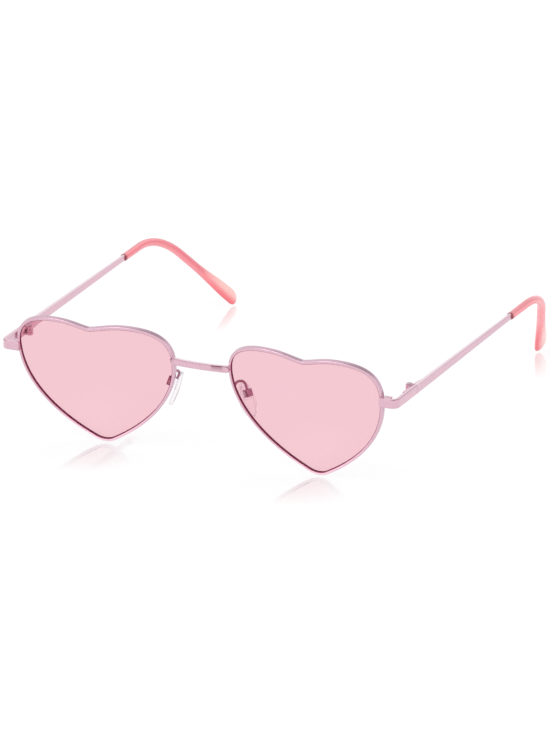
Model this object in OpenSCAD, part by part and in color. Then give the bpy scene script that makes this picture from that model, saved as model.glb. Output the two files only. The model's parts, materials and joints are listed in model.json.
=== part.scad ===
// Heart shaped sunglasses: two wire rims with tinted lenses, a bar bridge,
// hinged temples with soft tips and a pair of clear nose pads.
// They stand open on the two heart tips and the two temple tips, front to -Y.

/* [Rims] */
// Width from the heart's axis to its outer side
outer_half_w = 26.2; // [22:0.1:30]
// Width from the heart's axis to its nose side
inner_half_w = 27.7; // [22:0.1:30]
// Height of the heart from its tip to its lobe tops
heart_h = 44.3; // [38:0.1:50]
// Depth of the notch below the lobe tops
notch_d = 1.7; // [0.5:0.1:5]
// Radius of the heart's tip
tip_r = 6.7; // [4:0.1:8]
// Angle of the heart's sides to the level at the tip
tip_angle = 31; // [28:1:40]
// Gap over the nose between the two rims
nose_gap = 18.5; // [15:0.5:24]
// Width of the rim wire seen from the front
rim_w = 1; // [0.9:0.1:1.8]
// Depth of the rim wire from front to back
rim_d = 1.5; // [1.4:0.1:3]
// Radius of the ball that the rims and lenses lie on
lens_r = 170; // [120:1:300]
// Lean of the front, its top forward
tilt = 14.2; // [8:0.1:18]
// Turn of each rim about its upright line
face_turn = -1.9; // [-4:0.1:2]

/* [Lenses] */
// Thickness of a lens
lens_t = 1.2; // [1:0.1:1.6]
// Depth of the lens groove inside the rim
groove_d = 0.45; // [0.3:0.05:0.6]
// Width of the lens groove
groove_w = 0.8; // [0.6:0.05:0.9]
// Slack between the lens and its groove
lens_slack = 0.04; // [0.02:0.01:0.08]
// Gap of solder between a wire and what it is joined to
solder_gap = 0.04; // [0.02:0.01:0.08]

/* [Bridge] */
// Drop of the bridge's middle line below the top of the front
bridge_drop = 9.45; // [7:0.01:13]
// Height of the bridge bar at its middle
bridge_h = 2.1; // [1.6:0.1:3]
// Height of the bridge's flattened ends
bridge_end_h = 2.2; // [2.1:0.1:3.2]
// Thickness of the bridge bar
bridge_t = 1.6; // [1.2:0.1:2.4]
// Forward bow of the bridge at its middle
bridge_bow = 0.9; // [0:0.1:2]

/* [End pieces] */
// Distance of each temple's middle line outside its rim
end_out = 4.75; // [4.5:0.05:7]
// Drop of the temples' middle line below the top of the front
temple_drop = 11.85; // [10:0.01:14]
// Height of the end piece
end_h = 3; // [2.6:0.1:3.6]
// Thickness of the end piece
end_t = 1.3; // [1:0.1:1.6]
// Outer radius of the end piece's corner
corner_r = 2.5; // [2:0.1:4]
// Distance of the hinge axis behind the lens's pole
hinge_y = 12; // [10:0.5:16]

/* [Closing blocks] */
// Width of the closing blocks outside the rim
block_w = 2.4; // [1.9:0.1:2.6]
// Depth of the closing blocks
block_d = 1.9; // [1.8:0.1:2.6]
// Height of each closing block
block_h = 1.3; // [1.2:0.1:1.8]
// Slit that opens the rim to let the lens in
slit_w = 0.2; // [0.1:0.05:0.3]
// Radius of the closing screw
block_screw_r = 0.45; // [0.35:0.05:0.55]

/* [Hinges] */
// Outer radius of the hinge knuckles
knuckle_r = 1.25; // [1.1:0.05:1.5]
// Height of the three knuckles together
knuckle_h = 2.8; // [2.4:0.1:3.8]
// Height of the hinge leaves
leaf_h = 2.4; // [2:0.1:3]
// Thickness of the hinge leaves
leaf_t = 0.7; // [0.5:0.05:0.9]
// Length of the leaf on the end piece
front_leaf_l = 5; // [4:0.5:6]
// Length of the leaf on the temple
temple_leaf_l = 9; // [6:0.5:12]
// Radius of the hinge screw's shank
hinge_screw_r = 0.5; // [0.4:0.05:0.6]
// Radius of the hinge screw's head
hinge_head_r = 0.9; // [0.8:0.05:1.05]
// Running slack of the screw in its knuckles
running_slack = 0.05; // [0.02:0.01:0.08]
// Gap between two knuckles
knuckle_gap = 0.1; // [0.05:0.01:0.15]
// Gap between the end piece and the open temple
butt_gap = 0.1; // [0.05:0.01:0.2]

/* [Temples] */
// Height of the temple bar at its hinge
bar_h = 2.8; // [2.4:0.1:4]
// Height of the temple bar at its soft tip
bar_tail_h = 2; // [1.3:0.1:2.2]
// Thickness of the temple bar at its soft tip
bar_tail_t = 1.1; // [0.9:0.1:1.3]
// Distance of the soft tip's mouth behind the lens's pole
mouth_y = 82.5; // [75:0.1:90]
// Distance of the ear bend behind the lens's pole
bend_y = 106.5; // [104:0.1:115]
// Radius of the ear bend
bend_r = 28; // [16:0.5:30]
// Angle of the ear bend
bend_angle = 49.5; // [46:0.5:60]
// Inward lean of the bent ends
bend_lean = 24.3; // [15:0.1:32]
// Radius of the core wire inside the soft tip
core_r = 0.55; // [0.45:0.05:0.65]
// Length of the core wire past the ear bend
core_tail_l = 27; // [18:0.5:29]

/* [Soft tips] */
// Width of the soft tip at its mouth
tip_mouth_w = 2.4; // [2.2:0.1:3]
// Width of the soft tip at the start of its paddle
tip_neck_w = 2.7; // [2.4:0.1:3.4]
// Width of the paddle
paddle_w = 5.6; // [3.6:0.1:6.6]
// Thickness of the paddle
paddle_t = 2.4; // [2.2:0.1:3]
// Slack round the core wire
core_slack = 0.06; // [0.05:0.01:0.1]

/* [Nose pads] */
// Distance of each pad's middle outside the nose side of its rim
pad_out = 2.95; // [2.8:0.05:4.4]
// Distance of the pads' middle behind the lens's pole
pad_y = 7.3; // [6.6:0.1:9]
// Drop of the pads' middle below the top of the front
pad_drop = 22; // [19:0.01:24]
// Length of a pad
pad_l = 12; // [11:0.5:15]
// Width of a pad
pad_w = 6.2; // [5.6:0.1:8]
// Thickness of a pad
pad_t = 1.9; // [1.6:0.1:2.2]
// Turn of the pads towards the face
pad_splay = 20; // [14:1:34]
// Lean of the pads, their tops together
pad_lean = 20; // [14:1:24]
// Radius of the pad arm's wire
arm_r = 0.42; // [0.35:0.02:0.5]

/* [Pad boxes] */
// Height of the pad box
box_h = 2.4; // [2.2:0.1:2.8]
// Width of the pad box
box_w = 2.2; // [2:0.1:2.6]
// Depth of the pad box
box_d = 1.9; // [1.8:0.1:2.2]
// Thickness of the pad's tab in its box
tab_t = 0.7; // [0.5:0.05:0.8]
// Gap between a pad and its box
box_gap = 0.9; // [0.2:0.05:1.2]
// Distance of the pad box ahead of the pad's middle
box_ahead = 1.2; // [0:0.1:1.4]
// Radius of the pad screw
pad_screw_r = 0.35; // [0.3:0.02:0.38]
// Slack at each side of the tab
tab_slack = 0.1; // [0.08:0.01:0.15]
// Slack round the insert inside its pad
pocket_slack = 0.06; // [0.04:0.01:0.1]

/* [Hidden] */
$fn = 48;
ball_fn = 360;
overrun = 1;
// Colours of the finishes
METAL = "#dcb6cf";
TINT = [0.95, 0.72, 0.78, 0.6];
CORAL = [0.98, 0.55, 0.58, 0.85];
CLEAR = [0.96, 0.95, 0.96, 0.5];
STEEL = "#c9c3cc";

// The heart's outline, as shares of its half width and its height
lobe_share = 0.414;
wide_share = 0.74;
notch_run_share = 0.135;
notch_rise_share = 0.013;
lobe_in_share = 0.167;
lobe_out_share = 0.367;
side_up_share = 0.188;
side_down_share = 0.164;
side_long_share = 0.537;

// Places of the front
heart_x = nose_gap / 2 + inner_half_w;
front_top = heart_h * cos(tilt);
bridge_z = front_top - bridge_drop;
temple_x = heart_x + outer_half_w + end_out;
temple_z = front_top - temple_drop;
pad_x = nose_gap / 2 + pad_out;
pad_z = front_top - pad_drop;
lens_c = heart_h / 2;
pole_z = lens_c * cos(tilt) - ball_y(0, lens_c, -rim_d / 2) * sin(tilt);
lobe_v = heart_h - lens_c;
fore_y = world([outer_half_w * lobe_share, ball_y(outer_half_w * lobe_share, lobe_v, -rim_d / 2), lobe_v]).y;

// Places of the temples' bent ends
end_r = paddle_w / 2;
end_drop = norm([end_r * cos(bend_lean), paddle_t / 2 * sin(bend_lean)]);
tail_l = (temple_z - end_drop) / (sin(bend_angle) * cos(bend_lean));
bend_reach = bend_r * tan(bend_angle / 2);
straight_l = bend_y - bend_reach - mouth_y;
arc_l = bend_r * bend_angle * PI / 180;
tip_l = straight_l + arc_l + tail_l - bend_reach;
core_l = straight_l + arc_l + core_tail_l - bend_reach;
tip_sides = 16;
bend_steps = 8;
rear_y = bend_y + tail_l * cos(bend_angle) + end_r;
mid_y = (fore_y + rear_y) / 2;

// Places of the hinges
hinge_x = temple_x - end_t / 2 - knuckle_r - knuckle_gap;
each_knuckle_h = (knuckle_h - 2 * knuckle_gap) / 3;
leaf_start = knuckle_r + knuckle_gap * 2;
head_h_share = 0.7;
head_h = hinge_screw_r * head_h_share;

// The heart's outline in its own plane, tip at zero height
function bezier(a, b, c, d, n) = [for (i = [0 : n - 1]) let (t = i / n, s = 1 - t)
    s * s * s * a + 3 * s * s * t * b + 3 * s * t * t * c + t * t * t * d];
function half_heart(w) = let (
    notch = [0, heart_h - notch_d],
    lobe = [w * lobe_share, heart_h],
    wide = [w, heart_h * wide_share],
    run = [cos(tip_angle), sin(tip_angle)],
    low = [tip_r * sin(tip_angle), tip_r * (1 - cos(tip_angle))])
    concat(
        bezier(notch, notch + [w * notch_run_share, heart_h * notch_rise_share],
            lobe - [w * lobe_in_share, 0], lobe, 6),
        bezier(lobe, lobe + [w * lobe_out_share, 0],
            wide + [0, heart_h * side_up_share], wide, 12),
        bezier(wide, wide - [0, heart_h * side_down_share],
            low + run * heart_h * side_long_share, low, 14),
        [for (i = [0 : 4]) let (a = tip_angle * (1 - i / 5))
            [tip_r * sin(a), tip_r * (1 - cos(a))]]);
outer_half = half_heart(outer_half_w);
inner_half = half_heart(inner_half_w);
heart = concat(
    [for (p = outer_half) p - [0, lens_c]],
    [[0, -lens_c]],
    [for (i = [len(inner_half) - 1 : -1 : 1]) [-inner_half[i].x, inner_half[i].y - lens_c]]);
function inset(pts, d) = let (n = len(pts)) [for (i = [0 : n - 1])
    let (run = pts[(i + 1) % n] - pts[(i + n - 1) % n])
    pts[i] + d * [run.y, -run.x] / norm(run)];

// Depth of the ball's surface behind its pole, and a front point's place in the whole
function ball_y(u, v, d) = lens_r - sqrt(pow(lens_r - d, 2) - u * u - v * v);
function world(p) = let (
    x = p.x * cos(face_turn) - p.y * sin(face_turn),
    y = p.x * sin(face_turn) + p.y * cos(face_turn))
    [heart_x + x, y * cos(tilt) - p.z * sin(tilt), pole_z + y * sin(tilt) + p.z * cos(tilt)];
function up_front(z) = (z - pole_z) / cos(tilt);

// A tube's skin along a list of points, with its two half widths at each point
function ring(at, along, side, a, b, n) = let (up = cross(side, along))
    [for (i = [0 : n - 1]) let (t = 360 * i / n) at + side * b * cos(t) + up * a * sin(t)];
function flat_list(l) = [for (a = l) for (b = a) b];
function skin(rings, n, first) = [for (j = [0 : rings - 2]) for (i = [0 : n - 1])
    let (a = first + j * n + i, b = first + j * n + (i + 1) % n)
    each [[a, b, b + n], [a, b + n, a + n]]];
function turned(faces) = [for (f = faces) [f[2], f[1], f[0]]];
module tube(rings, start, end, n) {
    last = (len(rings) - 1) * n;
    ends = [for (i = [0 : n - 1]) let (j = (i + 1) % n)
        each [[i, last + n, j], [last + j, last + n + 1, last + i]]];
    polyhedron(concat(flat_list(rings), [start, end]),
        concat(skin(len(rings), n, 0), ends), convexity = 4);
}

module mirrored(side) {
    if (side > 0)
        children();
    else
        mirror([1, 0, 0]) children();
}
module stand(side) {
    mirrored(side) translate([0, -mid_y, 0]) children();
}
module on_front() {
    translate([heart_x, 0, pole_z]) rotate([tilt, 0, 0]) rotate([0, 0, face_turn]) children();
}
module upright(h) {
    rotate([90, 0, 0]) translate([0, 0, -h / 2]) linear_extrude(h) children();
}

// The rims and lenses
module heart_block(d) {
    reach = 2 * (ball_y(inner_half_w, lens_c, rim_d) + overrun);
    upright(reach) polygon(inset(heart, d));
}
module ball_shell(t) {
    translate([0, lens_r, 0]) difference() {
        sphere(r = lens_r + t / 2, $fn = ball_fn);
        sphere(r = lens_r - t / 2, $fn = ball_fn);
    }
}
module rim_blank() {
    intersection() {
        difference() {
            heart_block(0);
            heart_block(rim_w);
        }
        ball_shell(rim_d);
    }
}
module rim_slit() {
    translate([heart_x + outer_half_w, 0, temple_z])
        cube([outer_half_w, 4 * rim_d + block_d, slit_w], center = true);
}
module rim(side) {
    color(METAL) stand(side) difference() {
        on_front() difference() {
            rim_blank();
            intersection() {
                heart_block(rim_w - groove_d);
                ball_shell(groove_w);
            }
        }
        rim_slit();
    }
}
module lens(side) {
    color(TINT) stand(side) on_front() {
        intersection() {
            heart_block(rim_w + lens_slack);
            ball_shell(lens_t);
        }
        intersection() {
            heart_block(rim_w - groove_d + lens_slack);
            ball_shell(groove_w - 2 * lens_slack);
        }
    }
}

// The bridge, a bowed bar whose flattened ends lie on the rims
bridge_u = -inner_half_w + rim_w;
bridge_v = up_front(bridge_z);
bridge_seat = world([bridge_u, ball_y(bridge_u, bridge_v, -rim_d / 2), bridge_v]);
bridge_proud_share = 0.7;
bridge_front = bridge_seat.y - bridge_t * bridge_proud_share;
function bridge_face(x) = bridge_front - bridge_bow * (1 - pow(x / bridge_seat.x, 2));
module bridge() {
    steps = 24;
    end_x = bridge_seat.x;
    end_r = bridge_end_h / 2;
    neck_x = nose_gap / 2 - bridge_t;
    xs = [for (i = [0 : steps]) end_x * (2 * i / steps - 1)];
    color(METAL) stand(1) difference() {
        intersection() {
            translate([0, 0, bridge_z]) union() {
                translate([0, 0, -bridge_end_h / 2]) linear_extrude(bridge_end_h) polygon(concat(
                    [for (x = xs) [x, bridge_face(x)]],
                    [for (i = [steps : -1 : 0]) [xs[i], bridge_face(xs[i]) + bridge_t]]));
                for (s = [-1, 1])
                    translate([s * (end_x + neck_x) / 2, bridge_front + bridge_t, 0])
                        cube([end_x - neck_x, rim_d, bridge_end_h], center = true);
            }
            translate([0, 0, bridge_z]) upright(4 * (bridge_t + rim_d + bridge_bow)) union() {
                polygon([[-end_x + end_r, -end_r], [-neck_x, -end_r], [-neck_x + bridge_h, -bridge_h / 2],
                    [neck_x - bridge_h, -bridge_h / 2], [neck_x, -end_r], [end_x - end_r, -end_r],
                    [end_x - end_r, end_r], [neck_x, end_r], [neck_x - bridge_h, bridge_h / 2],
                    [-neck_x + bridge_h, bridge_h / 2], [-neck_x, end_r], [-end_x + end_r, end_r]]);
                for (s = [-1, 1])
                    translate([s * (end_x - end_r), 0]) circle(end_r);
            }
        }
        for (s = [-1, 1])
            mirrored(s) on_front() rim_blank();
    }
}

// The end pieces, flat bars over the rims that bend back to the hinges
end_u = outer_half_w - rim_w;
end_v = up_front(temple_z);
end_seat = world([end_u, ball_y(end_u, end_v, -rim_d / 2), end_v]);
end_proud_share = 0.9;
end_front = end_seat.y - end_t * end_proud_share;
rim_out = world([outer_half_w, ball_y(outer_half_w, end_v, 0), end_v]);
module end_piece(side) {
    bend_x = temple_x + end_t / 2 - corner_r;
    bend_c = end_front + corner_r;
    inner_x = end_seat.x + rim_w / 8;
    arc = [for (i = [0 : 12]) i * 90 / 12 - 90];
    color(METAL) stand(side) difference() {
        translate([0, 0, temple_z - end_h / 2]) {
            linear_extrude(end_h) polygon(concat(
                [[inner_x, end_front]],
                [for (a = arc) [bend_x + corner_r * cos(a), bend_c + corner_r * sin(a)]],
                [[temple_x + end_t / 2, hinge_y - butt_gap / 2],
                    [temple_x - end_t / 2, hinge_y - butt_gap / 2]],
                [for (i = [12 : -1 : 0]) [bend_x + (corner_r - end_t) * cos(arc[i]),
                    bend_c + (corner_r - end_t) * sin(arc[i])]],
                [[inner_x, end_front + end_t]]));
            translate([end_seat.x + rim_w / 3, end_front + end_t / 2, 0])
                cube([rim_w / 3, end_t, end_h]);
        }
        on_front() rim_blank();
    }
}

// The closing blocks that hold the slit rim shut, and their screw
block_y = end_front + end_t;
block_screw_x = rim_out.x + block_w / 2;
module closing_block(side, upper) {
    z = upper ? temple_z + slit_w / 2 : temple_z - slit_w / 2 - block_h;
    color(METAL) stand(side) difference() {
        translate([rim_out.x - rim_w / 3, block_y, z]) cube([block_w + rim_w / 3, block_d, block_h]);
        on_front() heart_block(0);
        translate([block_screw_x, block_y + block_d / 2, z - overrun])
            cylinder(r = block_screw_r + running_slack, h = block_h + 2 * overrun);
    }
}
slot_share = 0.33;
module slotted_head(r, h) {
    difference() {
        cylinder(r = r, h = h);
        translate([-r - overrun, -r * slot_share / 2, h / 2])
            cube([2 * (r + overrun), r * slot_share, h]);
    }
}
module rim_screw(side) {
    color(STEEL) stand(side)
        translate([block_screw_x, block_y + block_d / 2, temple_z - slit_w / 2 - block_h]) {
            cylinder(r = block_screw_r, h = 2 * block_h + slit_w);
            mirror([0, 0, 1]) slotted_head(block_screw_r * 2, block_screw_r);
        }
}

// The hinges: two knuckles on the front, one on the temple, and a screw
module at_hinge() {
    translate([hinge_x, hinge_y, temple_z]) children();
}
module knuckle(low, high) {
    translate([0, 0, low]) cylinder(r = knuckle_r, h = high - low);
}
module knuckle_bore() {
    translate([0, 0, -knuckle_h]) cylinder(r = hinge_screw_r + running_slack, h = 2 * knuckle_h);
}
leaf_x = temple_x - end_t / 2 - leaf_t - hinge_x;
mid_low = -each_knuckle_h / 2;
module front_leaf(side) {
    color(METAL) stand(side) at_hinge() difference() {
        union() {
            translate([leaf_x, -leaf_start - front_leaf_l, -leaf_h / 2])
                cube([leaf_t, front_leaf_l, leaf_h]);
            for (s = [-1, 1]) mirror([0, 0, s > 0 ? 0 : 1]) {
                knuckle(knuckle_gap - mid_low, knuckle_h / 2);
                translate([leaf_x, -leaf_start - leaf_t, knuckle_gap - mid_low])
                    cube([knuckle_r - leaf_x, leaf_start + leaf_t, leaf_h / 2 - knuckle_gap + mid_low]);
            }
        }
        knuckle_bore();
    }
}
module temple_leaf(side) {
    color(METAL) stand(side) at_hinge() difference() {
        union() {
            intersection() {
                translate([0, leaf_start, -leaf_h / 2]) linear_extrude(leaf_h) polygon([
                    [leaf_x, 0], [leaf_x + leaf_t, 0], [leaf_x + leaf_t, temple_leaf_l],
                    [leaf_x + leaf_t / 2, temple_leaf_l], [leaf_x, temple_leaf_l / 2]]);
                rotate([90, 0, 90]) linear_extrude(leaf_x + 2 * leaf_t) polygon([
                    [leaf_start, -leaf_h / 2], [leaf_start + temple_leaf_l, -leaf_h / 4],
                    [leaf_start + temple_leaf_l, leaf_h / 4], [leaf_start, leaf_h / 2]]);
            }
            knuckle(mid_low, -mid_low);
            translate([leaf_x, 0, mid_low]) cube([leaf_t, leaf_start + leaf_t, each_knuckle_h]);
        }
        knuckle_bore();
    }
}
module hinge_screw(side) {
    color(STEEL) stand(side) at_hinge() {
        translate([0, 0, -knuckle_h / 2]) cylinder(r = hinge_screw_r, h = knuckle_h + head_h / 2);
        translate([0, 0, knuckle_h / 2]) slotted_head(hinge_head_r, head_h);
    }
}

// The temple bars, flat at the hinge and drawn to a round wire at the tail
module at_tail() {
    translate([temple_x, bend_y, temple_z]) rotate([0, bend_lean, 0]) children();
}
module temple(side) {
    start_y = hinge_y + butt_gap / 2;
    flat_y = hinge_y + leaf_start + temple_leaf_l;
    color(METAL) stand(side) {
        intersection() {
            translate([0, 0, temple_z - bar_h]) linear_extrude(2 * bar_h) polygon([
                [temple_x - end_t / 2, start_y], [temple_x + end_t / 2, start_y],
                [temple_x + end_t / 2, flat_y], [temple_x + bar_tail_t / 2, mouth_y],
                [temple_x - bar_tail_t / 2, mouth_y], [temple_x - end_t / 2, flat_y]]);
            translate([temple_x - end_t, 0, temple_z]) rotate([90, 0, 90]) linear_extrude(2 * end_t)
                polygon([[start_y, -end_h / 2], [start_y + end_h, -bar_h / 2], [flat_y, -bar_h / 2],
                    [mouth_y, -bar_tail_h / 2], [mouth_y, bar_tail_h / 2], [flat_y, bar_h / 2],
                    [start_y + end_h, bar_h / 2], [start_y, end_h / 2]]);
        }
        at_tail() core_wire();
    }
}
module core_wire() {
    core_at = concat([-bar_tail_h], [for (i = [0 : 2]) straight_l * i / 3],
        [for (i = [0 : bend_steps]) straight_l + arc_l * i / bend_steps], [core_l]);
    tube([for (s = core_at) ring(path_at(s), path_dir(s), [1, 0, 0], core_r, core_r, tip_sides)],
        path_at(-bar_tail_h), path_at(core_l), tip_sides);
}

// The soft tips, swept round the core wire and closed by a round paddle
function ease(t) = let (c = max(0, min(1, t))) c * c * (3 - 2 * c);
function tail_dir(a) = [0, cos(a), -sin(a)];
function path_at(s) =
    s < straight_l ? [0, -bend_reach - straight_l + s, 0] :
    s < straight_l + arc_l ? let (a = (s - straight_l) / arc_l * bend_angle)
        [0, -bend_reach + bend_r * sin(a), -bend_r * (1 - cos(a))] :
    tail_dir(bend_angle) * (s - straight_l - arc_l + bend_reach);
function path_dir(s) = tail_dir(max(0, min(1, (s - straight_l) / arc_l)) * bend_angle);
neck_share = 0.27;
full_share = 0.92;
neck_at = tip_l - (tail_l - bend_reach) * (1 - neck_share);
full_at = tip_l - (tail_l - bend_reach) * (1 - full_share);
function tip_w(s) = tip_mouth_w + (tip_neck_w - tip_mouth_w) * ease(s / neck_at)
    + (paddle_w - tip_neck_w) * ease((s - neck_at) / (full_at - neck_at));
function tip_t(s) = tip_mouth_w + (tip_neck_w - tip_mouth_w) * ease(s / neck_at)
    + (paddle_t - tip_neck_w) * ease((s - neck_at) / (full_at - neck_at));
module temple_tip(side) {
    cap = 5;
    body_at = concat([for (i = [0 : 2]) straight_l * i / 3],
        [for (i = [0 : bend_steps]) straight_l + arc_l * i / bend_steps],
        [for (i = [1 : 12]) straight_l + arc_l + (tail_l - bend_reach) * i / 12]);
    outer = concat(
        [for (s = body_at) ring(path_at(s), path_dir(s), [1, 0, 0], tip_w(s) / 2, tip_t(s) / 2, tip_sides)],
        [for (i = [1 : cap]) let (a = 90 * i / (cap + 1))
            ring(path_at(tip_l + end_r * sin(a)), path_dir(tip_l), [1, 0, 0],
                tip_w(tip_l) / 2 * cos(a), tip_t(tip_l) / 2 * cos(a), tip_sides)]);
    bore_end = core_l + core_slack;
    bore_at = concat([for (i = [0 : 2]) straight_l * i / 3],
        [for (i = [0 : bend_steps]) straight_l + arc_l * i / bend_steps], [bore_end]);
    bore_r = core_r + core_slack;
    inner = [for (s = bore_at) ring(path_at(s), path_dir(s), [1, 0, 0], bore_r, bore_r, tip_sides)];
    n_out = len(outer) * tip_sides;
    n_in = len(inner) * tip_sides;
    points = concat(flat_list(outer), flat_list(inner), [path_at(tip_l + end_r), path_at(bore_end)]);
    faces = concat(
        skin(len(outer), tip_sides, 0),
        turned(skin(len(inner), tip_sides, n_out)),
        [for (i = [0 : tip_sides - 1]) let (j = (i + 1) % tip_sides)
            each [[i, n_out + i, n_out + j], [i, n_out + j, j],
                [n_out - tip_sides + i, n_out - tip_sides + j, n_out + n_in],
                [n_out + n_in - tip_sides + j, n_out + n_in - tip_sides + i, n_out + n_in + 1]]]);
    color(CORAL) stand(side) at_tail() polyhedron(points, faces, convexity = 4);
}

// The nose pads with their inserts, boxes, screws and arms
screw_up = pad_l / 5;
egg_share = 0.12;
insert_l_share = 0.38;
insert_t_share = 0.6;
module at_pad() {
    translate([pad_x, pad_y, pad_z]) rotate([0, 0, -pad_splay]) rotate([0, -pad_lean, 0]) children();
}
box_x = pad_t / 2 + box_gap + box_d / 2;
module at_box() {
    at_pad() translate([box_x, -box_ahead, screw_up]) children();
}
module pad_outline(inset_w) {
    a = pad_l / 2 - inset_w;
    b = pad_w / 2 - inset_w;
    polygon([for (i = [0 : 47]) let (t = 360 * i / 48)
        [b * cos(t) * (1 - egg_share * sin(t)), a * sin(t)]]);
}
module insert_plate(slack) {
    translate([pad_t / 4, 0, screw_up])
        cube([tab_t * insert_t_share + slack, pad_w / 2 + slack, pad_l * insert_l_share + slack],
            center = true);
}
module nose_pad(side) {
    crown_r = 2 * pad_l;
    color(CLEAR) stand(side) at_pad() difference() {
        intersection() {
            rotate([90, 0, 90]) translate([0, 0, -pad_t / 2]) linear_extrude(pad_t) pad_outline(0);
            translate([crown_r - pad_t / 2, 0, 0]) sphere(r = crown_r, $fn = 120);
        }
        insert_plate(pocket_slack);
        translate([0, -box_ahead, screw_up]) rotate([0, 90, 0])
            cylinder(r = tab_t + pocket_slack, h = pad_t);
    }
}
module pad_insert(side) {
    color(STEEL) stand(side) at_pad() difference() {
        union() {
            insert_plate(0);
            translate([pad_t / 4, -box_ahead, screw_up]) rotate([0, 90, 0])
                cylinder(r = tab_t, h = pad_t / 4);
            translate([pad_t / 2, -box_ahead - tab_t / 2, screw_up - tab_t])
                cube([box_x - pad_t / 2, tab_t, 2 * tab_t]);
            translate([box_x, -box_ahead + tab_t / 2, screw_up]) rotate([90, 0, 0])
                cylinder(r = tab_t, h = tab_t);
        }
        translate([box_x, pad_w, screw_up]) rotate([90, 0, 0])
            cylinder(r = pad_screw_r + running_slack, h = 2 * pad_w);
    }
}
module pad_box(side) {
    color(METAL) stand(side) at_box() difference() {
        cube([box_d, box_w, box_h], center = true);
        translate([-box_d / 2 - overrun, -tab_t / 2 - tab_slack, -box_h])
            cube([box_d / 2 + tab_t + tab_slack + overrun, tab_t + 2 * tab_slack, 2 * box_h]);
        rotate([90, 0, 0]) translate([0, 0, -box_w])
            cylinder(r = pad_screw_r + running_slack, h = 2 * box_w);
    }
}
module pad_screw(side) {
    head_r = pad_screw_r * 2;
    color(STEEL) stand(side) at_box() rotate([90, 0, 0]) {
        translate([0, 0, -box_w / 2]) cylinder(r = pad_screw_r, h = box_w);
        translate([0, 0, box_w / 2]) slotted_head(head_r, pad_screw_r);
    }
}

// The pad arm, a looped wire from the rim's back to the back of the pad box
arm_u = -inner_half_w + rim_w / 2;
arm_foot_share = 0.375;
arm_v = up_front(pad_z + pad_l * arm_foot_share);
arm_foot = world([arm_u, ball_y(arm_u, arm_v, rim_d / 2) + solder_gap, arm_v]);
arm_out = world([arm_u, ball_y(arm_u, arm_v, rim_d / 2) + rim_d, arm_v]) - arm_foot;
function spin_pad(p) = let (
    x = p.x * cos(pad_lean) - p.z * sin(pad_lean),
    z = p.x * sin(pad_lean) + p.z * cos(pad_lean))
    [x * cos(pad_splay) + p.y * sin(pad_splay), -x * sin(pad_splay) + p.y * cos(pad_splay), z];
loop_rise = pad_l / 5;
loop_back = pad_t;
top_share = 0.3;
top_bend_share = 0.35;
end_bend_share = 0.6;
arm_down = spin_pad([0, 0, -1]);
arm_end = [pad_x, pad_y, pad_z] + spin_pad([box_x, -box_ahead, screw_up + box_h / 2 + solder_gap]);
arm_run = [arm_end.x - arm_foot.x, arm_end.y - arm_foot.y, 0];
arm_top = [arm_foot.x, arm_foot.y + loop_back, arm_end.z + loop_rise] + arm_run * top_share;
arm_path = concat(
    bezier(arm_foot, arm_foot + arm_out, arm_top - arm_run * top_bend_share, arm_top, 12),
    bezier(arm_top, arm_top + arm_run * top_bend_share,
        arm_end - arm_down * loop_rise * end_bend_share, arm_end, 12),
    [arm_end]);
function unit(v) = v / norm(v);
module pad_arm(side) {
    sides = 10;
    last = len(arm_path) - 1;
    face = unit([arm_run.y, -arm_run.x, 0]);
    rings = [for (i = [0 : last])
        let (
            along = i == 0 ? unit(arm_out) : i == last ? arm_down : unit(arm_path[i + 1] - arm_path[i - 1]),
            up = unit(cross(face, along)))
        ring(arm_path[i], along, cross(along, up), arm_r, arm_r, sides)];
    color(METAL) stand(side) tube(rings, arm_foot, arm_end, sides);
}

bridge();
rim(1);  // right_rim
lens(1);  // right_lens
closing_block(1, true);  // right_upper_block
closing_block(1, false);  // right_lower_block
rim_screw(1);  // right_rim_screw
end_piece(1);  // right_end_piece
front_leaf(1);  // right_front_leaf
hinge_screw(1);  // right_hinge_screw
pad_arm(1);  // right_pad_arm
pad_box(1);  // right_pad_box
pad_screw(1);  // right_pad_screw
pad_insert(1);  // right_pad_insert
nose_pad(1);  // right_nose_pad
temple(1);  // right_temple
temple_leaf(1);  // right_temple_leaf
temple_tip(1);  // right_temple_tip
rim(-1);  // left_rim
lens(-1);  // left_lens
closing_block(-1, true);  // left_upper_block
closing_block(-1, false);  // left_lower_block
rim_screw(-1);  // left_rim_screw
end_piece(-1);  // left_end_piece
front_leaf(-1);  // left_front_leaf
hinge_screw(-1);  // left_hinge_screw
pad_arm(-1);  // left_pad_arm
pad_box(-1);  // left_pad_box
pad_screw(-1);  // left_pad_screw
pad_insert(-1);  // left_pad_insert
nose_pad(-1);  // left_nose_pad
temple(-1);  // left_temple
temple_leaf(-1);  // left_temple_leaf
temple_tip(-1);  // left_temple_tip
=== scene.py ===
"""Heart shaped sunglasses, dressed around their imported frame.

The front, the temples and the pads are modelled here as smooth meshes at the places of their
solids. Sizes are in millimetres. A point's x is measured from the middle of the nose, its y from
the poles of the two lenses and its z from the floor, and one function turns it to metres in the
frame's own axes.
"""

from __future__ import annotations

import json
import logging
import math
from dataclasses import dataclass, field
from enum import Enum

import bmesh
import bpy
from mathutils import Matrix, Vector

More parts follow.
